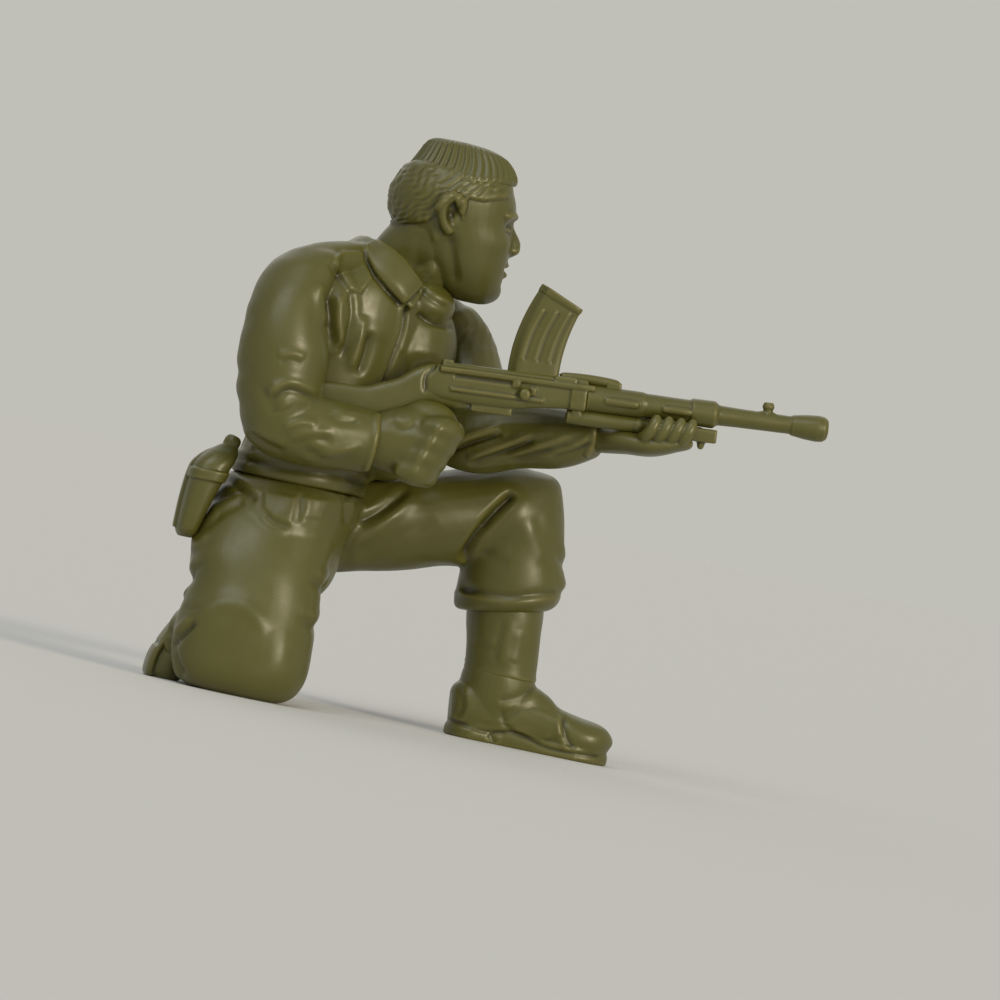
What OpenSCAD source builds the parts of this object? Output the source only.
// Kneeling toy soldier with a light machine gun, a push-fit plastic figure of about 1:32.
// Millimetres, +Z up, +X forward along the gun, +Y to the soldier's left, ground at Z = 0.

/* [Stance] */
// Height of the waist joint above the ground
waist_h = 14.6; // [13.6:0.1:16]
// Waist joint behind the middle of the figure
waist_back = 12.7; // [12:0.1:13.5]
// Turn of the shoulders to the right of the gun line
torso_turn = 43; // [32:1:50]
// Height of the crotch line above the ground
crotch_h = 8.8; // [8:0.1:9.6]
// Height of the raised knee's centre
knee_h = 15.2; // [14:0.1:16]
// Raised knee ahead of the middle of the figure
knee_ahead = 2.9; // [1.5:0.1:4.5]
// Left leg to the left of the gun's middle plane line
left_leg_y = 4.2; // [3.8:0.1:5]
// Kneeling knee to the right of the centre line
right_knee_y = 4.9; // [4.2:0.1:5.6]

/* [Jacket] */
// Length of the jacket from the waist to the neck
torso_len = 15.7; // [14.5:0.1:17]
// Lean of the neck ahead of the waist
torso_lean = 2.9; // [2:0.1:4]
// Half width of the chest
chest_half_w = 5.7; // [5:0.1:6.4]
// Half depth of the chest
chest_half_d = 4.2; // [3.6:0.1:4.8]
// Half width of the jacket at the waist
hem_half_w = 5; // [4.4:0.1:5.4]
// Half depth of the jacket at the waist
hem_half_d = 4.2; // [3.6:0.1:4.6]
// Half distance between the shoulder faces
shoulder_half = 5.3; // [4.8:0.1:5.8]
// Radius of the collar's lower edge
collar_r = 3.6; // [3.4:0.1:4.2]
// Height of the collar
collar_h = 1.9; // [1.4:0.1:2.4]
// Collar's lower edge below the neck joint
wing_drop = 1.75; // [1.5:0.05:2]
// Collar stands out over the shoulders
wing_out = 0.55; // [0.3:0.05:0.8]
// Collar sits this far ahead of the neck's axis
wing_ahead = 0.45; // [0.2:0.05:0.7]
// Half angle of the collar's opening
wing_open = 32; // [20:1:45]
// Half width of the scarf at the neck
scarf_half_w = 1.8; // [1.4:0.1:2.2]
// Half height of the scarf at the neck
scarf_half_h = 1.15; // [0.9:0.05:1.4]
// Radius of the shoulders' top edge
ridge_r = 1.3; // [1.1:0.05:1.5]
// Half length of the jacket's left breast
breast_half_l = 3.2; // [2.8:0.1:3.4]
// Half height of the jacket's left breast
breast_half_h = 3.4; // [3:0.1:3.6]
// Half length of the jacket's blouse over the belt
pouch_half_l = 3.5; // [3:0.1:3.7]
// Half height of the jacket's blouse over the belt
pouch_half_h = 2.7; // [2.2:0.1:2.8]
// Height above the neck joint where the shoulders leave room for the jaw
jaw_room = 0.15; // [0:0.05:0.3]

/* [Head] */
// Height of the head from chin to crown
head_h = 10.3; // [9.4:0.1:11.2]
// Half length of the skull, front to back
skull_half_l = 4.3; // [3.9:0.1:4.7]
// Half width of the skull
skull_half_w = 3.5; // [3.1:0.1:3.9]
// Forward tilt of the neck
neck_tilt = 24; // [18:1:30]
// Radius of the neck
neck_r = 2.1; // [1.8:0.05:2.4]
// Thickness of the hair
hair_t = 0.22; // [0.15:0.01:0.35]
// Number of locks around the hair
hair_locks = 20; // [12:1:24]
// Overhang of the knit cap around the skull
cap_over = 0.25; // [0.1:0.05:0.5]
// Number of ribs around the knit cap
cap_ribs = 26; // [18:1:32]
// Depth of the knit ribs
rib_depth = 0.12; // [0.05:0.01:0.2]

/* [Arms] */
// Half width of the right upper sleeve
sleeve_half_w = 3.1; // [2.7:0.1:3.4]
// Radius of the right forearm sleeve
right_cuff_r = 1.8; // [1.5:0.1:2]
// Radius of the left upper sleeve
left_sleeve_r = 2.3; // [2:0.1:2.6]
// Radius of the left forearm sleeve at the cuff
left_cuff_r = 1.65; // [1.4:0.05:1.9]
// Height of the right elbow above the waist joint
elbow_rise = 3.5; // [3.2:0.1:4.2]
// Radius of the fingers
finger_r = 0.36; // [0.28:0.02:0.4]

/* [Legs] */
// Half width of the left thigh
thigh_half_w = 3.1; // [2.7:0.1:3.4]
// Half height of the left thigh at the knee
thigh_half_h = 3.4; // [3:0.1:3.6]
// Half length of the kneeling thigh, front to back
kneel_half_l = 4.6; // [4.2:0.1:4.9]
// Half width of the kneeling thigh
kneel_half_w = 3.4; // [3:0.1:3.7]
// Half length of the bloused hem of the left trouser leg
blouse_half_l = 3.7; // [3.3:0.1:4]
// Height of the trouser hem above the ground
hem_h = 9.2; // [8.6:0.1:9.8]
// Radius of the gaiter
gaiter_r = 2.5; // [2.3:0.05:2.7]
// Half width of the fold behind the left knee
crease_half_w = 0.4; // [0.3:0.05:0.5]
// Depth of the fold behind the left knee
crease_depth = 0.75; // [0.5:0.05:0.9]
// Fold's cut stands this far outside the trouser leg
crease_out = 0.3; // [0.2:0.05:0.4]
// Height of the gaiter's lower edge
gaiter_low = 4.9; // [4.4:0.1:5.4]
// Height of the rim at the gaiter's foot
gaiter_rim = 0.5; // [0.3:0.05:0.8]
// Radius of the boot's shaft inside the gaiter
shaft_r = 1.8; // [1.6:0.05:2]
// Length of the left boot
boot_len = 11.1; // [10.4:0.1:12]
// Half width of the boot's sole
sole_half_w = 1.95; // [1.7:0.05:2.2]
// Thickness of the boot's sole
sole_t = 0.9; // [0.6:0.05:1.2]

/* [Gun] */
// Gun line to the right of the centre line
gun_y = 5.2; // [5:0.1:5.6]
// Gun line above the waist joint
gun_rise = 9.1; // [8.6:0.1:9.6]
// Upward pitch of the gun
gun_pitch = 4.4; // [2:0.1:7]
// Thickness of the receiver
receiver_t = 1.7; // [1.5:0.05:2.1]
// Length of the receiver ahead of the gun's reference point
receiver_front = 4.2; // [3.9:0.1:5]
// Length of the receiver behind the gun's reference point
receiver_back = 6.2; // [5.6:0.1:6.8]
// Half height of the receiver
receiver_half_h = 1.15; // [1.05:0.05:1.35]
// Thickness of the stock
stock_t = 1.2; // [1:0.05:1.3]
// Length of the stock behind the receiver
stock_len = 7.3; // [6.6:0.1:7.6]
// Length of the barrel ahead of the receiver, with the flash hider
barrel_len = 16.2; // [15:0.1:18]
// Radius of the barrel
barrel_r = 0.56; // [0.5:0.02:0.64]
// Radius of the barrel's rear half
breech_r = 0.72; // [0.66:0.02:0.78]
// Length of the flash hider
hider_len = 2.4; // [1.8:0.1:3]
// Radius of the flash hider's mouth
hider_r = 0.78; // [0.7:0.02:0.9]
// Radius of the gas tube
tube_r = 0.4; // [0.34:0.02:0.44]
// Drop of the gas tube below the bore
tube_drop = 1.4; // [1.36:0.02:1.6]
// Radius of the carrying handle's bar
handle_r = 0.28; // [0.22:0.02:0.34]
// Length of the carrying handle's bar
handle_len = 3.8; // [3.2:0.1:4.4]
// Radius of the cocking knob
knob_r = 0.36; // [0.3:0.02:0.44]

/* [Magazine] */
// Width of the magazine, front to back
mag_w = 3.4; // [3:0.1:3.8]
// Thickness of the magazine
mag_t = 1.3; // [1.1:0.05:1.5]
// Height of the magazine's rear edge
mag_back_len = 5.75; // [5:0.05:6.5]
// Height of the magazine's front edge
mag_front_len = 4.3; // [3.8:0.05:4.8]
// Forward curve of the magazine
mag_curve = 0.046; // [0.02:0.002:0.06]
// Depth of the magazine's tab in its well
tab_depth = 1.8; // [1.4:0.1:2]

/* [Water bottle] */
// Width of the bottle
bottle_w = 3.5; // [3:0.1:4]
// Height of the bottle
bottle_h = 6.2; // [5.4:0.1:6.8]
// Thickness of the bottle
bottle_t = 1.6; // [1.4:0.05:1.9]
// Forward lean of the bottle's top
bottle_lean = 11; // [6:1:14]
// Radius of the stopper
stopper_r = 0.5; // [0.4:0.05:0.6]

/* [Pegs and fits] */
// Radius of the waist peg
waist_peg_r = 1.6; // [1.3:0.1:1.9]
// Length of the waist peg
waist_peg_len = 3; // [2.2:0.1:3.4]
// Radius of the neck peg
neck_peg_r = 1.3; // [1:0.05:1.6]
// Length of the neck peg
neck_peg_len = 2.6; // [2:0.1:3.2]
// Radius of the limb pegs
limb_peg_r = 0.9; // [0.7:0.05:1.1]
// Length of the limb pegs
limb_peg_len = 1.8; // [1.4:0.1:2.2]
// Radius of the left wrist's peg
wrist_peg_r = 0.72; // [0.6:0.02:0.84]
// Radius of the gun's grip inside the right fist
grip_r = 0.6; // [0.5:0.02:0.7]
// Length of the gun's grip inside the right fist
grip_len = 1.3; // [1:0.1:1.8]
// Radius of the barrel's spigot in the receiver
spigot_r = 0.42; // [0.36:0.02:0.5]
// Length of the barrel's spigot in the receiver
spigot_len = 1.5; // [1.2:0.1:1.7]
// Radius of the bottle's peg
bottle_peg_r = 0.5; // [0.4:0.05:0.6]
// Radius of the small pins
pin_r = 0.26; // [0.2:0.02:0.3]
// Depth of the small pins in the barrel
pin_len = 0.42; // [0.36:0.02:0.5]
// Radial clearance of the pegs that turn
run_gap = 0.05; // [0.02:0.01:0.09]
// Radial clearance of the pegs that are pushed home
push_gap = 0.02; // [0.01:0.01:0.04]
// Space kept between neighbours that don't touch
air_gap = 0.15; // [0.1:0.01:0.25]

/* [Hidden] */
$fn = 48;

// Moves the middle of the figure's foot print to the origin
to_centre = [0.45, 0.85, 0];
left_dir = [sin(torso_turn), cos(torso_turn), 0];
chest_dir = [cos(torso_turn), -sin(torso_turn), 0];
waist = [-waist_back, 0.5, waist_h];
shoulder_mid = waist + [torso_lean * 0.83, 0.4, torso_len * 0.86];
neck_root = waist + [torso_lean, 0.2, torso_len];
neck_dir = [sin(neck_tilt), 0, cos(neck_tilt)];
right_shoulder = shoulder_mid - shoulder_half * left_dir;
left_shoulder = shoulder_mid + shoulder_half * left_dir + [0, 0, -1.3];
shoulder_lean = 12;
gun_at = [-0.23, -gun_y, waist_h + gun_rise];
right_wrist = gun_at + [-9.1, -1, -5.4];
right_elbow = [right_wrist[0] - 6.8, right_wrist[1] - 0.4, waist_h + elbow_rise];
left_wrist = gun_at + [6.3, 2, -2.3];
left_knee = [knee_ahead, left_leg_y, knee_h];
left_elbow = [left_knee[0] - 4.3, left_knee[1] - 4, knee_h + thigh_half_h + left_sleeve_r - 1.3];
left_reach = left_wrist - left_elbow;
hip_cut = -waist_back + 2.3;
left_hip = [hip_cut, waist[1] + waist_peg_r + limb_peg_r + air_gap, crotch_h + 2 * limb_peg_r];
right_knee = [-waist_back - 2.2, -right_knee_y, 0];
ankle = [knee_ahead + 0.35, left_leg_y, 0];
stock_low = -2.1;
butt_low = -2.7;
butt_front = right_wrist[0] - gun_at[0] - 0.5;
tube_palm = -tube_drop - tube_r - 0.05;
crown = neck_root + [3.1, -0.3, 8.7];
chin_h = crown[2] - head_h;
cap_tilt = 7;
cap_at = [crown[0], crown[1], crown[2] - 2.5];

// Unit vector of a vector
function unit(v) = v / norm(v);
// Place of a station, the first three numbers of its row
function spot(row) = [row[0], row[1], row[2]];
// Point of a smooth curve through q and r, with p and s as the outer neighbours
function curve(p, q, r, s, t) =
  0.5 * (2 * q + (r - p) * t + (2 * p - 5 * q + 4 * r - s) * t * t + (3 * q - p - 3 * r + s) * t * t * t);
// Stations with smooth steps put between them
function smooth(rows, steps) = let (last = len(rows) - 1) [
  for (i = [0:last - 1]) for (k = [0:steps - 1])
    curve(rows[max(i - 1, 0)], rows[i], rows[i + 1], rows[min(i + 2, last)], k / steps),
  rows[last]
];
// Direction of a limb at one station
function heading(rows, i) = unit(spot(rows[min(i + 1, len(rows) - 1)]) - spot(rows[max(i - 1, 0)]));
// Oval ring square to a limb: half width across, half height up
function limb_ring(row, dir, up, sides) = let (side = unit(cross(up, dir)), top = cross(dir, side)) [
  for (k = [0:sides - 1])
    spot(row) + row[3] * cos(360 * k / sides) * side + row[4] * sin(360 * k / sides) * top
];
// Level oval ring: half length, half width and turn, with optional ribs
function level_ring(row, sides, ribs, depth) = [
  for (k = [0:sides - 1])
    let (
      t = 360 * k / sides,
      g = 1 + depth * cos(ribs * t),
      x = row[3] * g * cos(t),
      y = row[4] * g * sin(t)
    )
      [row[0] + x * cos(row[5]) - y * sin(row[5]), row[1] + x * sin(row[5]) + y * cos(row[5]), row[2]]
];

// Closed skin over a list of rings
module skin(rings) {
  n = len(rings[0]);
  last = len(rings) - 1;
  polyhedron(
    points = [for (r = rings) each r],
    faces = [
      [for (k = [0:n - 1]) k],
      for (i = [0:last - 1]) for (k = [0:n - 1])
        let (a = i * n + k, b = i * n + (k + 1) % n)
          each [[a, a + n, b + n], [a, b + n, b]],
      [for (k = [n - 1:-1:0]) last * n + k]
    ]
  );
}
// Limb through stations [x, y, z, half width, half height]
module limb(rows, up = [0, 0, 1], sides = 20, steps = 3) {
  path = smooth(rows, steps);
  skin([for (i = [0:len(path) - 1]) limb_ring(path[i], heading(path, i), up, sides)]);
}
// Body of level slices [x, y, z, half length, half width, turn], from the bottom up
module slices(rows, sides = 20, steps = 3, ribs = 0, depth = 0) {
  path = smooth(rows, steps);
  skin([for (row = path) level_ring(row, sides, ribs, depth)]);
}
// Egg-shaped body of level slices
module ovoid(point, half_l, half_w, half_h) {
  slices([
    for (a = [-72:24:72])
      [point[0], point[1], point[2] + half_h * sin(a), half_l * cos(a), half_w * cos(a), 0]
  ], steps = 1);
}
// Moves its children to a point with their Z axis along a direction
module along(point, dir) {
  translate(point)
    rotate([0, acos(dir[2] / norm(dir)), atan2(dir[1], dir[0])])
      children();
}
// Round peg or bore from a point along a direction
module peg(point, dir, r, len) {
  along(point, dir)
    cylinder(r = r, h = len);
}
// Peg that stands out of its own piece, rooted a little inside it
module stud(point, dir, r, len) {
  peg(point - 0.4 * unit(dir), dir, r, len + 0.4);
}
// Block on the far side of a plane
module beyond(point, dir, w = 12, h = 12) {
  along(point, dir)
    translate([-w / 2, -w / 2, 0])
      cube([w, w, h]);
}
// Gun frame: X along the bore, Z up, origin at the middle of the receiver
module on_gun() {
  translate(gun_at)
    rotate([0, -gun_pitch, 0])
      children();
}
// Plate of a side outline, centred on the gun's middle plane
module plate(points, t) {
  rotate([90, 0, 0])
    translate([0, 0, -t / 2])
      linear_extrude(t)
        polygon(points);
}
// Colour and place shared by all pieces
module moulded() {
  color("#5d5f33")
    translate(to_centre)
      children();
}
// Block on the arm's side of the right shoulder face
module right_shoulder_side(depth) {
  translate(right_shoulder)
    rotate([0, 0, -90 - torso_turn])
      rotate([0, -shoulder_lean, 0])
        translate([depth < 0 ? depth : 0, -6, -5.5])
          cube([abs(depth), 12, 11]);
}
// Block on the arm's side of the left shoulder face
module left_shoulder_side(depth) {
  translate(left_shoulder)
    rotate([0, 0, 90 - torso_turn])
      translate([depth < 0 ? depth : 0, -6, -6])
        cube([abs(depth), 12, 12]);
}

// Trouser seat that carries the legs, the torso and the bottle
module hips() {
  moulded()
    difference() {
      slices([
        [waist[0] - 1.9, waist[1] - 0.7, crotch_h - 0.8, 5, 5.4, 0],
        [waist[0] - 1.8, waist[1] - 0.6, crotch_h + 0.4, 5.2, 5.6, 0],
        [waist[0] - 1.5, waist[1] - 0.5, (crotch_h + waist_h) / 2, 5.3, 5.6, 0],
        [waist[0] - 1, waist[1] - 0.3, waist_h - 1.4, 5, 5.2, 0],
        [waist[0] - 0.5, waist[1], waist_h, 4.3, 4.8, 0]
      ]);
      translate([-40, -20, crotch_h - 5])
        cube([60, 40, 5]);
      translate([hip_cut, waist[1] - 0.8, 0])
        cube([10, 20, waist_h + 5]);
      peg(waist, [0, 0, -1], waist_peg_r + run_gap, waist_peg_len + run_gap);
      peg([right_knee[0], -3.2, crotch_h], [0, 0, 1], limb_peg_r + push_gap, limb_peg_len);
      peg(left_hip, [-1, 0, 0], limb_peg_r + push_gap, limb_peg_len);
      on_bottle() {
        peg([-bottle_t / 2, 0, 0], [1, 0, 0], bottle_peg_r + push_gap, bottle_t + 2.4);
      }
      bottle_pocket();
    }
}
// Kneeling leg: thigh down to the knee, calf back to the boot
module right_leg() {
  moulded() {
    difference() {
      union() {
        slices([
          [right_knee[0], right_knee[1], 0, kneel_half_l * 0.7, kneel_half_w * 0.6, 0],
          [right_knee[0], right_knee[1], 0.7, kneel_half_l * 0.9, kneel_half_w * 0.85, 0],
          [right_knee[0], right_knee[1] + 0.1, 2, kneel_half_l, kneel_half_w * 0.96, 0],
          [right_knee[0] - 0.1, right_knee[1] + 0.5, 4.5, kneel_half_l, kneel_half_w, 0],
          [right_knee[0] - 0.1, right_knee[1] + 1.2, crotch_h - 2, kneel_half_l, kneel_half_w, 0],
          [right_knee[0] - 0.1, right_knee[1] + 1.7, crotch_h, kneel_half_l + 0.1, kneel_half_w, 0]
        ]);
        limb([
          [right_knee[0] + 1, right_knee[1] + 0.6, 3.2, 2.2, 2.2],
          [right_knee[0] - 1.5, right_knee[1] + 1.9, 3.3, 2.6, 2.5],
          [right_knee[0] - 3, right_knee[1] + 3.2, 3.4, 2.5, 2.4],
          [right_knee[0] - 4.5, right_knee[1] + 4, 3.4, 2.2, 2.2]
        ], steps = 2);
      }
      translate([right_knee[0] - 13.1, right_knee[1] + 1.6, -1])
        cube([10, 20, 6.6]);
      bottle_pocket();
      peg([right_knee[0] - 3.1, right_knee[1] + 3.5, 3.1], [1, 0, 0], limb_peg_r + push_gap, limb_peg_len);
    }
    stud([right_knee[0], -3.2, crotch_h], [0, 0, 1], limb_peg_r, limb_peg_len);
  }
}
// Boot of the kneeling leg, standing on its toe with the sole to the rear
module right_boot() {
  moulded() {
    difference() {
      slices([
        [right_knee[0] - 4.5, right_knee[1] + 3.6, 0, 1.1, 1.4, 0],
        [right_knee[0] - 4.45, right_knee[1] + 3.6, 0.8, 1.5, 1.75, 0],
        [right_knee[0] - 4.1, right_knee[1] + 3.6, 2.2, 1.5, 1.8, 0],
        [right_knee[0] - 3.6, right_knee[1] + 3.6, 4.2, 1.3, 1.6, 0],
        [right_knee[0] - 3.4, right_knee[1] + 3.6, 5.1, 0.8, 1.1, 0],
        [right_knee[0] - 3.4, right_knee[1] + 3.6, 5.4, 0.3, 0.4, 0]
      ]);
      translate([right_knee[0] - 3.1, right_knee[1] - 5, -1])
        cube([10, 20, 20]);
    }
    stud([right_knee[0] - 3.1, right_knee[1] + 3.5, 3.1], [1, 0, 0], limb_peg_r, limb_peg_len);
  }
}
// Cut that makes the deep fold behind the left knee on one side of the leg
module knee_crease(side) {
  limb([
    for (s = [[-1.3, 1.9], [-2.5, 0], [-3.5, -2], [-4, -3.6], [-4.2, -5.2]])
      [
        left_knee[0] + s[0], left_knee[1] + side * (thigh_half_w + crease_out), knee_h + s[1],
        crease_half_w, crease_depth + crease_out
      ]
  ], up = [0, 1, 0]);
}
// Raised leg: thigh forward to the knee, shin down to the bloused hem
module left_leg() {
  moulded() {
    difference() {
      union() {
        limb([
          [hip_cut - 2, 3.1, crotch_h + 2.8, thigh_half_w, 2.8],
          [hip_cut + 1, 3.3, crotch_h + 3.1, thigh_half_w, 3],
          [left_knee[0] - 8.6, left_knee[1] - 0.6, (crotch_h + 3 + knee_h) / 2 - 0.6, thigh_half_w, 3.2],
          [left_knee[0] - 4.6, left_knee[1] - 0.2, knee_h - 1.2, thigh_half_w, thigh_half_h],
          [left_knee[0] - 1.4, left_knee[1], knee_h, thigh_half_w * 0.97, thigh_half_h],
          [left_knee[0] + 0.6, left_knee[1], knee_h + 0.4, thigh_half_w * 0.8, thigh_half_h * 0.85],
          [left_knee[0] + 1.9, left_knee[1], knee_h + 0.6, thigh_half_w * 0.4, thigh_half_h * 0.45],
          [left_knee[0] + 2.2, left_knee[1], knee_h + 0.7, 0.3, 0.3]
        ]);
        slices([
          [left_knee[0] + 0.1, ankle[1], hem_h, blouse_half_l * 0.78, blouse_half_l * 0.7, 0],
          [left_knee[0] + 0.1, ankle[1], hem_h + 0.7, blouse_half_l * 0.95, blouse_half_l * 0.82, 0],
          [left_knee[0], ankle[1], hem_h + 1.8, blouse_half_l, blouse_half_l * 0.86, 0],
          [left_knee[0], ankle[1], hem_h + 4, blouse_half_l * 0.9, blouse_half_l * 0.82, 0],
          [left_knee[0] - 0.1, ankle[1], knee_h, thigh_half_h * 0.88, thigh_half_w * 0.95, 0],
          [left_knee[0] - 0.2, ankle[1], knee_h + 1.8, thigh_half_h * 0.72, thigh_half_w * 0.75, 0],
          [left_knee[0] - 0.3, ankle[1], knee_h + 3, thigh_half_h * 0.45, thigh_half_w * 0.45, 0],
          [left_knee[0] - 0.3, ankle[1], knee_h + 3.4, 0.4, 0.4, 0]
        ]);
      }
      translate([hip_cut - 10, -10, 0])
        cube([10, 30, 40]);
      for (side = [-1, 1])
        knee_crease(side);
      translate([waist[0], waist[1], waist_h - air_gap])
        cylinder(r = hem_half_w + 0.6, h = 5);
      peg([ankle[0], ankle[1], hem_h], [0, 0, 1], limb_peg_r + push_gap, limb_peg_len);
    }
    stud(left_hip, [-1, 0, 0], limb_peg_r, limb_peg_len);
  }
}
// Plain gaiter around the left boot's shaft, with a rim at its foot
module left_gaiter() {
  moulded()
    difference() {
      union() {
        translate([ankle[0], ankle[1], gaiter_low])
          cylinder(r1 = gaiter_r - 0.12, r2 = gaiter_r, h = hem_h - gaiter_low);
        translate([ankle[0], ankle[1], gaiter_low])
          cylinder(r = gaiter_r, h = gaiter_rim);
      }
      translate([ankle[0], ankle[1], gaiter_low - 1])
        cylinder(r = shaft_r + push_gap, h = hem_h);
    }
}
// Left boot with its sole, heel and shaft
module left_boot() {
  toe = ankle[0] - 2.3 + boot_len;
  moulded() {
    difference() {
      union() {
        limb([
          [ankle[0] - 2.3, ankle[1], 2.2, 0.7, 1.2],
          [ankle[0] - 1.7, ankle[1], 2.6, sole_half_w * 0.8, 1.9],
          [ankle[0] + 0.2, ankle[1], 2.7, sole_half_w * 0.98, 2],
          [ankle[0] + 2.6, ankle[1], 2.5, sole_half_w * 0.95, 1.9],
          [toe - 4.3, ankle[1], 2, sole_half_w * 0.95, 1.4],
          [toe - 2.4, ankle[1], 1.8, sole_half_w * 0.97, 1.15],
          [toe - 0.8, ankle[1], 1.6, sole_half_w * 0.75, 0.85],
          [toe - 0.2, ankle[1], 1.5, sole_half_w * 0.35, 0.5]
        ]);
        translate([ankle[0], ankle[1], 2.6])
          cylinder(r = shaft_r, h = hem_h - 2.6);
        translate([ankle[0], ankle[1], gaiter_low - 0.7])
          cylinder(r = gaiter_r - 0.4, h = 0.7);
      }
      translate([ankle[0] - 20, ankle[1] - 20, -1])
        cube([60, 40, 1 + sole_t * 0.6]);
    }
    linear_extrude(sole_t)
      polygon([
        for (a = [90:15:270]) [ankle[0] - 0.9 + 1.5 * cos(a), ankle[1] + (sole_half_w - 0.1) * sin(a)],
        [ankle[0] + 1.8, ankle[1] - sole_half_w + 0.35],
        for (a = [-90:15:90]) [toe - 3.1 + 3.1 * cos(a), ankle[1] + sole_half_w * sin(a)],
        [ankle[0] + 1.8, ankle[1] + sole_half_w - 0.35]
      ]);
    stud([ankle[0], ankle[1], hem_h], [0, 0, 1], limb_peg_r, limb_peg_len);
  }
}
// Bottle frame: X towards the hip, Z up the bottle, origin at its middle
module on_bottle() {
  translate([waist[0] - 6.17 - bottle_t / 2, waist[1] - 3.2, waist_h - 1.9])
    rotate([0, bottle_lean, 0])
      children();
}
// Room for the bottle in the trousers behind it
module bottle_pocket() {
  on_bottle()
    translate([-bottle_t / 2 - 6, -bottle_w, -bottle_h])
      cube([bottle_t + 6 + push_gap, 2 * bottle_w, 2 * bottle_h]);
}
// Flat oval water bottle with its strap, carried on a peg at the right hip
module water_bottle() {
  round_r = bottle_w / 2;
  rise = bottle_h / 2 - round_r;
  moulded()
    on_bottle()
      difference() {
        union() {
          for (z = [-rise, rise])
            translate([-bottle_t / 2, 0, z])
              rotate([0, 90, 0])
                cylinder(r = round_r, h = bottle_t);
          translate([-bottle_t / 2, -round_r, -rise])
            cube([bottle_t, bottle_w, 2 * rise]);
          translate([-bottle_t / 2 - 0.12, -round_r - 0.12, rise * 0.2])
            cube([bottle_t + 0.12, bottle_w + 0.24, 0.7]);
          translate([0, 0, bottle_h / 2 - 0.3])
            cylinder(r = stopper_r + 0.12, h = 0.6);
          peg([0, 0, 0], [1, 0, 0], bottle_peg_r, bottle_t / 2 + 2.4);
        }
        translate([0, 0, bottle_h / 2 - 0.5])
          cylinder(r = pin_r + push_gap, h = 1);
      }
}
// Stopper pushed into the bottle's neck
module bottle_stopper() {
  moulded()
    on_bottle() {
      translate([0, 0, bottle_h / 2 + 0.3])
        cylinder(r1 = stopper_r, r2 = stopper_r * 0.85, h = 0.7);
      translate([0, 0, bottle_h / 2 - 0.5])
        cylinder(r = pin_r, h = 1);
    }
}
// Station of the shoulder's top edge, a way to the left of the neck and a rise from it
function shoulder_ridge_row(out, rise) =
  let (at = neck_root + out * left_dir + [0, 0, rise])
    [at[0], at[1], at[2], ridge_r, ridge_r];
// Turned-down collar, open at the front
module collar_wings() {
  along(neck_root - wing_drop * neck_dir + wing_ahead * [neck_dir[2], 0, -neck_dir[0]], neck_dir)
    difference() {
      cylinder(r1 = collar_r + wing_out, r2 = neck_r + 0.75 + wing_out, h = collar_h);
      translate([0, 0, -1])
        linear_extrude(collar_h + 2)
          polygon([
            [0, 0],
            for (a = [-wing_open, 0, wing_open]) 3 * collar_r * [cos(a - torso_turn), sin(a - torso_turn)]
          ]);
    }
}
// Battledress jacket with its collar, the scarf at the neck and the blouse over the belt
module jacket() {
  moulded() {
    difference() {
      union() {
        slices([
          for (s = [
            [0, 0, 0, hem_half_w * 0.96, hem_half_d * 0.95, 0.55],
            [0.02, 0, 0.06, hem_half_w, hem_half_d, 0.6],
            [0.1, 0.1, 0.25, (hem_half_w + chest_half_w) / 2 - 0.3, chest_half_d, 0.75],
            [0.35, 0.2, 0.48, chest_half_w - 0.2, chest_half_d, 0.92],
            [0.65, 0.3, 0.7, chest_half_w, chest_half_d, 1],
            [0.83, 0.4, 0.86, chest_half_w - 0.2, chest_half_d - 0.6, 1],
            [0.93, 0.4, 0.95, chest_half_w - 1.3, chest_half_d - 1.2, 1],
            [1, 0.3, 1, chest_half_w - 2.8, chest_half_d - 1.9, 1]
          ])
            [waist[0] + torso_lean * s[0], waist[1] + s[1], waist_h + torso_len * s[2], s[4], s[3],
              -torso_turn * s[5]]
        ], sides = 24);
        along(neck_root - 1.2 * neck_dir, neck_dir)
          cylinder(r1 = collar_r, r2 = neck_r + 0.75, h = collar_h);
        collar_wings();
        limb([
          for (s = [[0.6, -0.75], [3.2, -0.6], [5.6, -0.85], [8, -1.4]])
            shoulder_ridge_row(-s[0], s[1])
        ]);
        limb([
          for (s = [[0.6, -0.75], [3, -1], [5.2, -1.8], [7, -2.7]])
            shoulder_ridge_row(s[0], s[1])
        ]);
        ovoid(waist + [5.1, 0.8, torso_len * 0.675], breast_half_l, breast_half_l, breast_half_h);
        ovoid(neck_root + [2.9, -1.3, -2.3], scarf_half_w, scarf_half_w, scarf_half_h);
        ovoid(waist + [4.8, 1.1, 4.3], pouch_half_l, pouch_half_l, pouch_half_h);
      }
      right_shoulder_side(8);
      left_shoulder_side(8);
      translate([-30, -gun_y - 20 + stock_t / 2 + air_gap, 0])
        cube([60, 20, waist_h + torso_len * 0.72]);
      peg(neck_root, neck_dir, neck_r + run_gap + air_gap, 6);
      along(neck_root + (collar_h - 1.2) * neck_dir, neck_dir)
        cylinder(r = 2 * skull_half_l, h = 6);
      along(neck_root + jaw_room * neck_dir, neck_dir)
        difference() {
          cylinder(r = 2 * skull_half_l, h = 6);
          translate([0, 0, -1])
            cylinder(r = neck_r + 1.1, h = 8);
        }
      peg(neck_root, -neck_dir, neck_peg_r + run_gap, neck_peg_len + run_gap);
      peg(right_shoulder, left_dir - [0, 0, tan(shoulder_lean)], limb_peg_r + push_gap, limb_peg_len);
      peg(left_shoulder, -left_dir, limb_peg_r + push_gap, limb_peg_len);
    }
    stud(waist, [0, 0, -1], waist_peg_r, waist_peg_len);
  }
}
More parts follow.
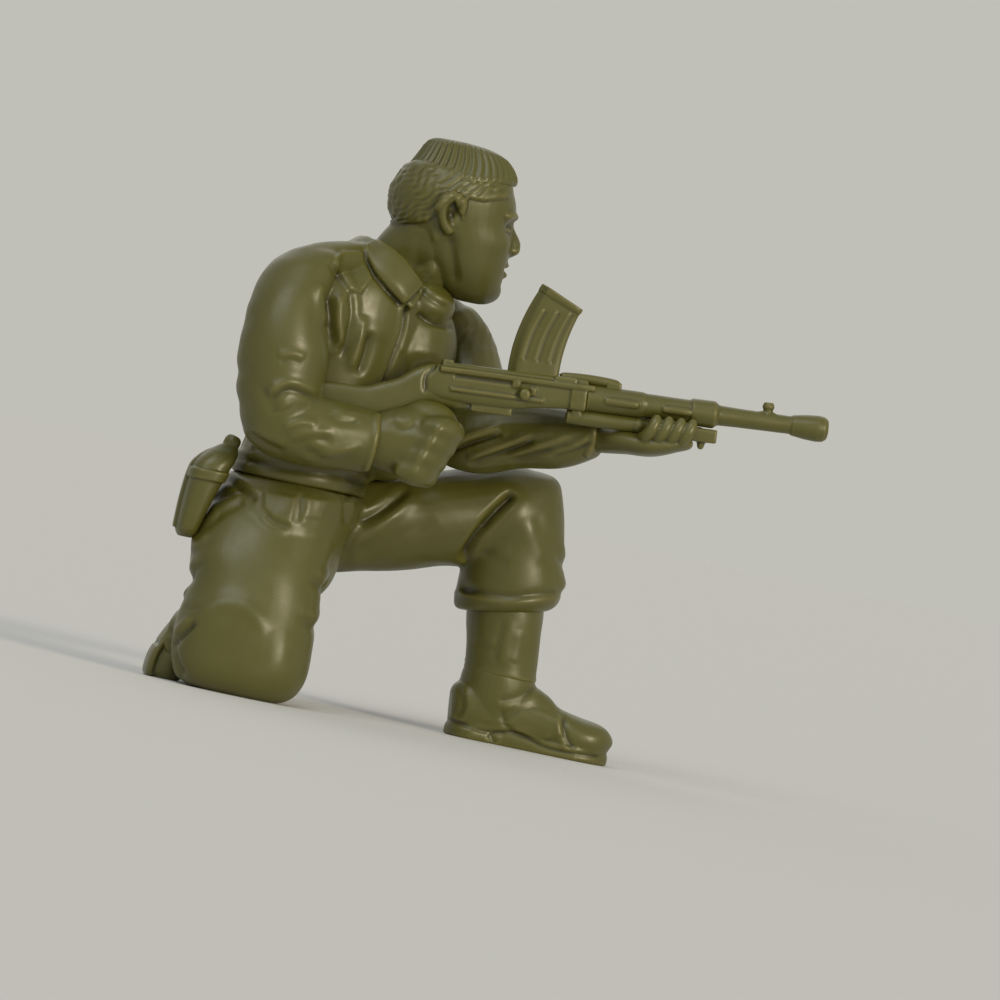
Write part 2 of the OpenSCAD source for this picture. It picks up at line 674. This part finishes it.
// Level slice of the right shoulder, set out from its face along the shoulder line
function shoulder_row(out, lift, half_l, half_w, turned) = [
  right_shoulder[0] - out * left_dir[0], right_shoulder[1] - out * left_dir[1], right_shoulder[2] + lift,
  half_l, half_w, (90 - torso_turn) * turned
];
// Right sleeve: upper arm down to the elbow, forearm forward to the cuff
module right_arm() {
  moulded() {
    difference() {
      union() {
        slices([
          [right_elbow[0] + 0.3, right_elbow[1], right_elbow[2] - 1.9, 0.4, 0.3, 0],
          [right_elbow[0] + 0.3, right_elbow[1], right_elbow[2] - 1.6, 1.1, 1, 0],
          [right_elbow[0] + 0.1, right_elbow[1], right_elbow[2] - 0.3, 2.2, 2, 0],
          [right_elbow[0] - 0.2, right_elbow[1], right_elbow[2] + 2.2, sleeve_half_w - 0.3, 2.5, 0],
          [right_elbow[0] - 0.4, right_elbow[1] + 0.3, right_elbow[2] + 5.2, sleeve_half_w, 2.6, 0],
          shoulder_row(3.2, -1.6, sleeve_half_w, 2.45, 0.8),
          shoulder_row(2.6, 0.4, sleeve_half_w - 0.1, 2.3, 1),
          shoulder_row(2.4, 1.4, 2.4, 2, 1),
          shoulder_row(2.2, 2.05, 1.6, 1.4, 1),
          shoulder_row(2.1, 2.35, 0.6, 0.5, 1)
        ]);
        limb([
          [right_elbow[0] - 1.7, right_elbow[1], right_elbow[2] + 0.2, 0.4, 0.4],
          [right_elbow[0] - 1.3, right_elbow[1], right_elbow[2] + 0.1, 1.4, 1.4],
          [right_elbow[0] + 0.2, right_elbow[1], right_elbow[2], 2.1, 2.1],
          [
            right_elbow[0] + 3.2, right_elbow[1] + 0.1, right_elbow[2],
            right_cuff_r + 0.05, right_cuff_r + 0.35
          ],
          [
            right_wrist[0] - 1.2, right_wrist[1] - 0.1, right_wrist[2] - 0.1,
            right_cuff_r, right_cuff_r + 0.1
          ],
          [right_wrist[0] + 1, right_wrist[1], right_wrist[2], right_cuff_r, right_cuff_r]
        ]);
      }
      right_shoulder_side(-8);
      beyond(right_wrist, [1, 0, 0]);
      peg(right_wrist, [-1, 0, 0], limb_peg_r + push_gap, limb_peg_len);
    }
    stud(right_shoulder, left_dir - [0, 0, tan(shoulder_lean)], limb_peg_r, limb_peg_len);
  }
}
// Right fist under the stock
module right_hand() {
  moulded() {
    difference() {
      limb([
        [right_wrist[0] - 1, right_wrist[1], right_wrist[2], 1.3, 1.5],
        [right_wrist[0] + 0.3, right_wrist[1] + 0.05, right_wrist[2] + 0.2, 1.3, 1.6],
        [right_wrist[0] + 1.5, right_wrist[1] + 0.15, right_wrist[2] + 0.5, 1.5, 2.1],
        [right_wrist[0] + 2.9, right_wrist[1] + 0.25, right_wrist[2] + 0.6, 1.6, 2.4],
        [right_wrist[0] + 4.2, right_wrist[1] + 0.35, right_wrist[2] + 0.8, 1.5, 2.1],
        [right_wrist[0] + 5, right_wrist[1] + 0.4, right_wrist[2] + 1.2, 0.9, 1.2],
        [right_wrist[0] + 5.3, right_wrist[1] + 0.4, right_wrist[2] + 1.3, 0.3, 0.4]
      ]);
      beyond(right_wrist, [-1, 0, 0]);
      on_gun()
        translate([-12, -4, stock_low])
          cube([12, 8, 5]);
      on_gun()
        peg([-6, 0, stock_low], [0, 0, -1], grip_r + push_gap, grip_len);
    }
    stud(right_wrist, [-1, 0, 0], limb_peg_r, limb_peg_len);
  }
}
// Left sleeve: from the shoulder to the elbow by the knee, then across to the gun
module left_arm() {
  moulded() {
    difference() {
      union() {
        limb([
          left_row(left_shoulder + [0.4, 0.4, 2.1], 0.5),
          left_row(left_shoulder + [0.6, 0.4, 1.7], left_sleeve_r * 0.62),
          left_row(left_shoulder + [1.1, 0.35, 0.5], left_sleeve_r * 0.95),
          left_row(left_shoulder + [2.8, 0.05, -1.2], left_sleeve_r),
          left_row((left_shoulder + left_elbow) / 2 + [1.3, 0.6, -0.3], left_sleeve_r),
          left_row(left_elbow, left_sleeve_r - 0.25),
          left_row(left_elbow + [0.8, -0.7, -1.1], left_sleeve_r * 0.6),
          left_row(left_elbow + [1, -0.9, -1.4], 0.5)
        ]);
        limb([
          left_row(left_elbow - unit(left_reach) * 1.6, 0.45),
          left_row(left_elbow - unit(left_reach) * 1.3, left_sleeve_r * 0.55),
          left_row(left_elbow + unit(left_reach) * 0.3, left_sleeve_r - 0.3),
          left_row(left_elbow + left_reach * 0.35, left_sleeve_r - 0.3),
          left_row(left_elbow + left_reach * 0.7, (left_sleeve_r + left_cuff_r) / 2 - 0.05),
          left_row(left_wrist + unit(left_reach) * 0.7, left_cuff_r)
        ]);
      }
      left_shoulder_side(-8);
      beyond(left_wrist, left_reach);
      peg(left_wrist, -left_reach, wrist_peg_r + push_gap, limb_peg_len);
    }
    stud(left_shoulder, -left_dir, limb_peg_r, limb_peg_len);
  }
}
// Station of the left sleeve, round in section
function left_row(point, r) = [point[0], point[1], point[2], r, r];
// Left hand: palm under the gas tube, fingers up the near side, thumb on the far side
module left_hand() {
  moulded() {
    difference() {
      limb([
        left_row(left_wrist - unit(left_reach), 1.2),
        [left_wrist[0] + 0.2, left_wrist[1] - 0.2, left_wrist[2], 1.3, 1.2],
        [left_wrist[0] + 1.4, left_wrist[1] - 1.1, left_wrist[2] + 0.05, 1.6, 1.1],
        [left_wrist[0] + 3, left_wrist[1] - 1.8, left_wrist[2] + 0.3, 1.75, 0.95],
        [left_wrist[0] + 4.6, left_wrist[1] - 2.05, left_wrist[2] + 0.6, 1.6, 0.8],
        [left_wrist[0] + 5.4, left_wrist[1] - 2.1, left_wrist[2] + 0.75, 0.9, 0.5],
        [left_wrist[0] + 5.6, left_wrist[1] - 2.1, left_wrist[2] + 0.8, 0.3, 0.2]
      ]);
      beyond(left_wrist, -left_reach);
      on_gun()
        translate([-4, -4, tube_palm])
          cube([20, 8, 5]);
    }
    on_gun()
      for (k = [0:3])
        translate([8.6 + 0.78 * k, -1.2, tube_palm - 0.45]) {
          cylinder(r = finger_r, h = 1.6 - 0.12 * k);
          sphere(r = finger_r);
          translate([0, 0, 1.6 - 0.12 * k])
            sphere(r = finger_r);
        }
    stud(left_wrist, -left_reach, wrist_peg_r, limb_peg_len);
  }
}
// Slices of the skull from the chin up: shift ahead, then shares of its height, half length and half width
skull_rows = [
  [2.35, 0, 0.18, 0.22],
  [2.3, 0.02, 0.32, 0.42],
  [2.2, 0.07, 0.44, 0.6],
  [1.85, 0.2, 0.58, 0.76],
  [1.1, 0.36, 0.76, 0.87],
  [0.35, 0.52, 0.94, 0.96],
  [0, 0.67, 1, 1],
  [0, 0.82, 0.9, 0.93],
  [0, 0.94, 0.7, 0.75],
  [0, 1, 0.45, 0.5]
];
// Cropped hair in upright locks, from the cap to the nape and behind the temples
module hair() {
  intersection() {
    slices([
      for (s = skull_rows)
        if (s[1] > 0.3)
          [
            crown[0] + s[0], crown[1], chin_h + head_h * s[1],
            skull_half_l * s[2] + hair_t, skull_half_w * s[3] + hair_t, 0
          ]
    ], sides = 60, steps = 2, ribs = hair_locks, depth = 0.35 * hair_t / skull_half_l);
    translate([crown[0] + 1.3, crown[1] - 10, crown[2] - 3.2])
      rotate([0, 32, 0])
        translate([-20, 0, -20])
          cube([20, 20, 40]);
    translate([crown[0], crown[1] - 10, chin_h + head_h * 0.42])
      rotate([0, -8, 0])
        translate([-20, 0, 0])
          cube([40, 20, 20]);
  }
}
// Head with its neck, jaw, nose, ears and hair; the crown is cut flat for the cap
module head() {
  moulded() {
    difference() {
      union() {
        slices([
          for (s = skull_rows)
            [crown[0] + s[0], crown[1], chin_h + head_h * s[1], skull_half_l * s[2], skull_half_w * s[3], 0]
        ], sides = 22);
        hair();
        peg(neck_root, neck_dir, neck_r, 4.2);
        limb([
          [crown[0] + 3.7, crown[1], chin_h + 5.9, 0.4, 0.3],
          [crown[0] + 4.3, crown[1], chin_h + 4.9, 0.5, 0.45],
          [crown[0] + 4.5, crown[1], chin_h + 4.2, 0.6, 0.55],
          [crown[0] + 4, crown[1], chin_h + 3.7, 0.5, 0.4]
        ], up = [1, 0, 0], sides = 14, steps = 2);
        for (side = [-1, 1])
          translate([crown[0] - 0.5, crown[1] + side * skull_half_w * 0.93, chin_h + head_h * 0.53])
            rotate([90 + side * 8, 0, 0])
              cylinder(r = 1, h = 0.7, center = true);
      }
      translate(cap_at)
        rotate([0, -cap_tilt, 0])
          translate([-10, -10, 0])
            cube([20, 20, 8]);
      translate(cap_at)
        rotate([0, -cap_tilt, 0])
          peg([0, 0, 0], [0, 0, -1], limb_peg_r + push_gap, limb_peg_len);
    }
    stud(neck_root, -neck_dir, neck_peg_r, neck_peg_len);
  }
}
// Ribbed knit cap, pushed onto the flat crown
module knit_cap() {
  moulded() {
    difference() {
      slices([
        for (s = [
          [0.62, 1, 1],
          [0.7, 0.98, 0.99],
          [0.76, 0.945, 0.965],
          [0.82, 0.84, 0.86],
          [0.89, 0.74, 0.76],
          [0.96, 0.61, 0.63],
          [0.985, 0.53, 0.55],
          [1, 0.44, 0.46]
        ])
          [crown[0] - 0.1, crown[1], chin_h + head_h * s[0] + 0.05, (skull_half_l + cap_over) * s[1] - 0.2,
            (skull_half_w + cap_over) * s[2] - 0.2, 0]
      ], sides = cap_ribs * 2, steps = 1, ribs = cap_ribs, depth = rib_depth / skull_half_l);
      translate(cap_at)
        rotate([0, -cap_tilt, 0])
          translate([-10, -10, -8])
            cube([20, 20, 8]);
    }
    translate(cap_at)
      rotate([0, -cap_tilt, 0])
        stud([0, 0, 0], [0, 0, -1], limb_peg_r, limb_peg_len);
  }
}
// Receiver with the magazine well, trigger group, grip peg and stock
module gun_body() {
  moulded()
    on_gun()
      difference() {
        union() {
          plate([
            [-receiver_back, -1.5], [-1.1, -1.45], [receiver_front - 1.2, -0.95], [receiver_front, -0.95],
            [receiver_front, receiver_half_h], [-receiver_back, receiver_half_h]
          ], receiver_t);
          plate([
            [-receiver_back - stock_len, butt_low + 0.1],
            [butt_front, butt_low],
            [butt_front, stock_low],
            [-3.7, stock_low],
            [-3.3, -1.4],
            [-receiver_back, receiver_half_h],
            [-receiver_back - 1.5, 0.5], [-receiver_back - 3, -0.5], [-receiver_back - 4.2, -1.05],
            [-receiver_back - stock_len, -1.2]
          ], stock_t);
          plate([
            [-3.2, -1.9], [-0.6, -1.7], [-0.6, -1.2], [-3.2, -1.2]
          ], stock_t);
          stud([-6, 0, stock_low], [0, 0, -1], grip_r, grip_len);
        }
        translate([
          0.5 - mag_w / 2 + 0.3 - run_gap,
          -mag_t / 2 + 0.15 - run_gap,
          receiver_half_h - tab_depth - run_gap
        ])
          cube([mag_w - 0.6 + 2 * run_gap, mag_t - 0.3 + 2 * run_gap, 5]);
        peg([receiver_front, 0, 0], [-1, 0, 0], spigot_r + push_gap, spigot_len);
        peg([0, -receiver_t / 2, -0.35], [0, 1, 0], pin_r + push_gap, 0.35);
      }
}
// Barrel with its collar, front sight and flash hider
module gun_barrel() {
  tip = receiver_front + barrel_len;
  neck = tip - hider_len;
  moulded()
    on_gun()
      difference() {
        union() {
          rotate([0, 90, 0])
            rotate_extrude()
              polygon([
                [0, receiver_front], [breech_r, receiver_front], [breech_r, 8], [barrel_r + 0.08, 8.2],
                [barrel_r + 0.08, 11.3],
                [breech_r + 0.12, 11.35],
                [breech_r + 0.12, 13],
                [barrel_r + 0.06, 13.2],
                [barrel_r, neck],
                [barrel_r + 0.06, neck + 0.05],
                [hider_r, tip - 0.8],
                [hider_r - 0.08, tip - 0.25],
                [hider_r - 0.28, tip], [0, tip]
              ]);
          stud([receiver_front, 0, 0], [-1, 0, 0], spigot_r, spigot_len);
          plate([
            [neck - 2.1, 0], [neck - 1.2, 0], [neck - 1.35, 1.1], [neck - 1.95, 1.1]
          ], 0.45);
          translate([neck - 1.65, 0, 1.1])
            rotate([90, 0, 0])
              cylinder(r = 0.3, h = 0.45, center = true);
        }
        peg([6, 0, breech_r], [0, 0, -1], pin_r + push_gap, pin_len);
        peg([12.2, 0, -breech_r - 0.12], [0, 0, 1], pin_r + push_gap, pin_len);
      }
}
// Gas tube with the folded bipod's block, lugs and spike
module gas_tube() {
  block_top = -breech_r - 0.12;
  moulded()
    on_gun() {
      translate([3.3, 0, -tube_drop])
        rotate([0, 90, 0])
          cylinder(r = tube_r, h = 9);
      translate([3.4, -0.25, -tube_drop])
        cube([0.6, 0.5, tube_drop - 0.95]);
      translate([8.6, -0.3, tube_palm])
        cube([2.2, 0.6, -tube_drop - tube_palm]);
      translate([11.4, -0.6, -tube_drop - 0.5])
        cube([1.8, 1.2, tube_drop + 0.5 + block_top - 0.02]);
      translate([12.1, -0.2, -tube_drop - 1])
        cube([0.5, 0.4, 0.8]);
      peg([12.2, 0, block_top - 0.2], [0, 0, 1], pin_r, pin_len + 0.2);
    }
}
// Carrying handle along the top, on a pin in the barrel
module carry_handle() {
  moulded()
    on_gun() {
      translate([6.2 - handle_len, 0, receiver_half_h + handle_r + 0.05])
        rotate([0, 90, 0])
          cylinder(r = handle_r, h = handle_len);
      translate([5.6, -0.3, breech_r])
        cube([0.8, 0.6, receiver_half_h + handle_r - breech_r]);
      peg([6, 0, breech_r + 0.1], [0, 0, -1], pin_r, pin_len + 0.1);
    }
}
// Cocking handle on the right side of the receiver
module cocking_handle() {
  moulded()
    on_gun() {
      peg([0, -receiver_t / 2, -0.35], [0, -1, 0], knob_r, 0.55);
      peg([0, -receiver_t / 2 - 0.1, -0.35], [0, 1, 0], pin_r, 0.45);
    }
}
// Curved magazine that stands on the receiver, with a tab down into the well
module magazine() {
  moulded()
    on_gun() {
      translate([0.5, 0, receiver_half_h])
        plate([
          for (k = [0:8]) let (h = mag_back_len * k / 8) [-mag_w / 2 + mag_curve * h * h, h],
          for (k = [8:-1:0]) let (h = mag_front_len * k / 8) [mag_w / 2 + mag_curve * h * h, h]
        ], mag_t);
      translate([0.5 - mag_w / 2 + 0.3, -mag_t / 2 + 0.15, receiver_half_h - tab_depth])
        cube([mag_w - 0.6, mag_t - 0.3, tab_depth + 0.2]);
    }
}

hips();
right_leg();
right_boot();
left_leg();
left_gaiter();
left_boot();
water_bottle();
bottle_stopper();
jacket();
right_arm();
right_hand();
left_arm();
left_hand();
head();
knit_cap();
gun_body();
gun_barrel();
gas_tube();
carry_handle();
cocking_handle();
magazine();
